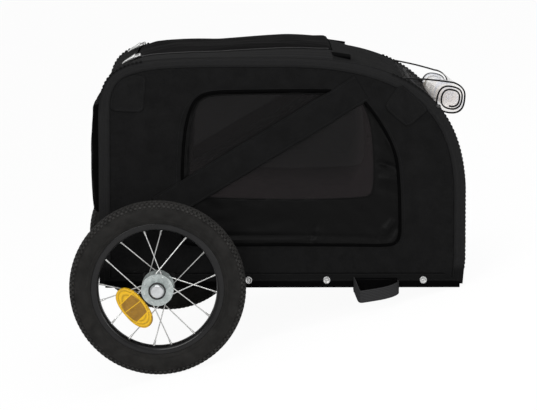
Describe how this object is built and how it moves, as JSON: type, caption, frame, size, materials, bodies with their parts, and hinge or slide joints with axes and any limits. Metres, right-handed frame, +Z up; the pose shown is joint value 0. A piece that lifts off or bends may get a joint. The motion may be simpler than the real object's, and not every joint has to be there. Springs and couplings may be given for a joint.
{
  "type": "dog bicycle trailer",
  "caption": "Two-wheeled dog trailer for a bicycle: black fabric cabin on a tube frame, with mesh windows, rear door, roof hatch and a swinging tow arm.",
  "frame": {"origin": "on the floor, under the middle of the trailer's length and width as it stands parked", "axes": "+X forward along the floor, +Y to the trailer's left, +Z up; the cabin itself is nose down by the parked tilt"},
  "size_m": [0.8644, 0.6696, 0.6045],
  "materials": {
    "frame_paint": "satin black powder coat",
    "floor_board": "black stiffened floor board",
    "oxford": "black coarse plain-weave polyester",
    "nylon": "black smooth coated nylon",
    "screen": "black open mesh",
    "webbing": "black ribbed webbing",
    "clear_film": "clear soft film, slightly milky",
    "zinc_steel": "zinc-plated steel",
    "tyre": "dark grey rubber",
    "rim_paint": "gloss black",
    "amber": "amber retroreflector"
  },
  "bodies": {
    "frame": {"base_frame": "frame_paint", "floor_board": "floor_board", "rear_panel": "oxford", "roof_panel": "oxford", "front_screen": "screen", "front_sill": "oxford", "rain_cover_roll": "clear_film", "rain_cover_sheet": "clear_film", "webbing_loop": "webbing", "tow_bracket": "zinc_steel", "tow_pin": "zinc_steel", "cross_bar_rear": "frame_paint", "cross_bar_roof": "frame_paint", "cross_bar_front": "frame_paint", "side_hoop_left": "frame_paint", "side_hoop_right": "frame_paint", "side_brace_left": "frame_paint", "side_brace_right": "frame_paint", "side_panel_left": "oxford", "side_panel_right": "oxford", "window_surround_left": "nylon", "window_surround_right": "nylon", "window_mesh_left": "screen", "window_mesh_right": "screen", "brace_sleeve_left": "oxford", "brace_sleeve_right": "oxford", "wheel_bracket_left": "zinc_steel", "wheel_bracket_right": "zinc_steel", "axle_pin_left": "zinc_steel", "axle_pin_right": "zinc_steel"},
    "wheel_left": {"tyre_left": "tyre", "rim_left": "rim_paint", "hub_left": "zinc_steel", "reflector_left": "amber"},
    "wheel_right": {"tyre_right": "tyre", "rim_right": "rim_paint", "hub_right": "zinc_steel", "reflector_right": "amber"},
    "tow_arm": {"tow_arm": "frame_paint", "tow_coupling": "zinc_steel"},
    "rear_door": {"rear_door": "oxford", "rear_pocket": "oxford"},
    "roof_hatch": {"roof_hatch": "nylon"}
  },
  "joints": [
    {"name": "wheel_left_spin", "type": "hinge", "parent": "frame", "child": "wheel_left", "pos_m": [-0.2572, 0.295, 0.175], "axis": [0, 1, 0], "continuous": true},
    {"name": "wheel_right_spin", "type": "hinge", "parent": "frame", "child": "wheel_right", "pos_m": [-0.2572, -0.295, 0.175], "axis": [0, 1, 0], "continuous": true},
    {"name": "tow_arm_swing", "type": "hinge", "parent": "frame", "child": "tow_arm", "pos_m": [0.29877, 0.24, 0.02823], "axis": [-0.2636, 0, -0.9646], "range_deg": [0, 180]},
    {"name": "rear_door_drop", "type": "hinge", "parent": "frame", "child": "rear_door", "pos_m": [-0.36729, 0, 0.22168], "axis": [0, -1, 0], "range_deg": [0, 110]},
    {"name": "roof_hatch_lift", "type": "hinge", "parent": "frame", "child": "roof_hatch", "pos_m": [0.19402, 0, 0.50597], "axis": [0, 1, 0], "range_deg": [0, 110]}
  ]
}
